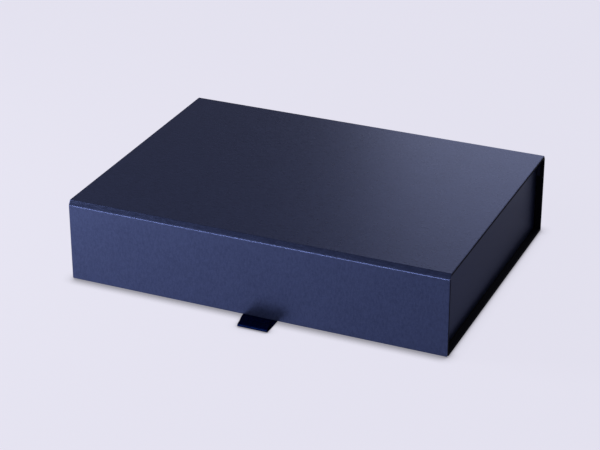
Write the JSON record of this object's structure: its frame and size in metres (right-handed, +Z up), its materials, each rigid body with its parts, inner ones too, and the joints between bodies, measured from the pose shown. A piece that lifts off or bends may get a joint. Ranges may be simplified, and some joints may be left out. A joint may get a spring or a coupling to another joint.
{
  "type": "book-style paper box",
  "caption": "Paper-covered box for documents: a book-style case with a lid, a front flap and a ribbon pull tab, closing round a fixed tray.",
  "frame": {"origin": "centre of the case's underside, on the surface that the box stands on", "axes": "+X along the flap to the right, +Y from the flap to the spine, +Z up"},
  "size_m": [0.32, 0.255, 0.07],
  "materials": {
    "cover_paper": "navy pearl paper with a fine laid grain, satin",
    "lining_paper": "plain navy paper, matt",
    "greyboard": "raw greyboard",
    "stay_paper": "gummed kraft paper",
    "magnet": "nickel plated",
    "ribbon": "double-faced navy satin ribbon"
  },
  "bodies": {
    "tray_case": {"base_board": "greyboard", "base_cover": "cover_paper", "spine_board": "greyboard", "spine_cover": "cover_paper", "spine_lining": "lining_paper", "tray_floor": "greyboard", "tray_front_wall": "greyboard", "tray_back_wall": "greyboard", "tray_left_wall": "greyboard", "tray_right_wall": "greyboard", "tray_wrap": "cover_paper", "tray_floor_lining": "lining_paper", "corner_stay_front_left": "stay_paper", "corner_stay_front_right": "stay_paper", "corner_stay_back_left": "stay_paper", "corner_stay_back_right": "stay_paper", "tray_magnet_left": "magnet", "tray_magnet_right": "magnet"},
    "back_strip": {"back_strip_cover": "cover_paper", "back_strip_lining": "lining_paper"},
    "lid": {"lid_board": "greyboard", "lid_cover": "cover_paper", "lid_lining": "lining_paper"},
    "front_strip": {"front_strip_cover": "cover_paper", "front_strip_lining": "lining_paper"},
    "flap": {"flap_board": "greyboard", "flap_cover": "cover_paper", "flap_lining": "lining_paper", "flap_magnet_left": "magnet", "flap_magnet_right": "magnet", "pull_tab_tail": "ribbon"},
    "tab": {"pull_tab_loop": "ribbon"}
  },
  "joints": [
    {"name": "spine_crease", "type": "hinge", "parent": "tray_case", "child": "back_strip", "pos_m": [0, 0.11787, 0.066], "axis": [-1, 0, 0], "range_deg": [0, 90]},
    {"name": "lid_back_crease", "type": "hinge", "parent": "back_strip", "child": "lid", "pos_m": [0, 0.115, 0.06988], "axis": [-1, 0, 0], "range_deg": [0, 90]},
    {"name": "lid_front_crease", "type": "hinge", "parent": "lid", "child": "front_strip", "pos_m": [0, -0.115, 0.06988], "axis": [-1, 0, 0], "range_deg": [0, 90]},
    {"name": "flap_crease", "type": "hinge", "parent": "front_strip", "child": "flap", "pos_m": [0, -0.11787, 0.066], "axis": [-1, 0, 0], "range_deg": [0, 90]},
    {"name": "tab_bend", "type": "hinge", "parent": "flap", "child": "tab", "pos_m": [0, -0.1184, 0.00045], "axis": [-1, 0, 0], "range_deg": [0, 75]}
  ],
  "couplings": [
    {"joint": "spine_crease", "follows": "lid_back_crease", "ratio": 1},
    {"joint": "lid_front_crease", "follows": "flap_crease", "ratio": 1}
  ]
}
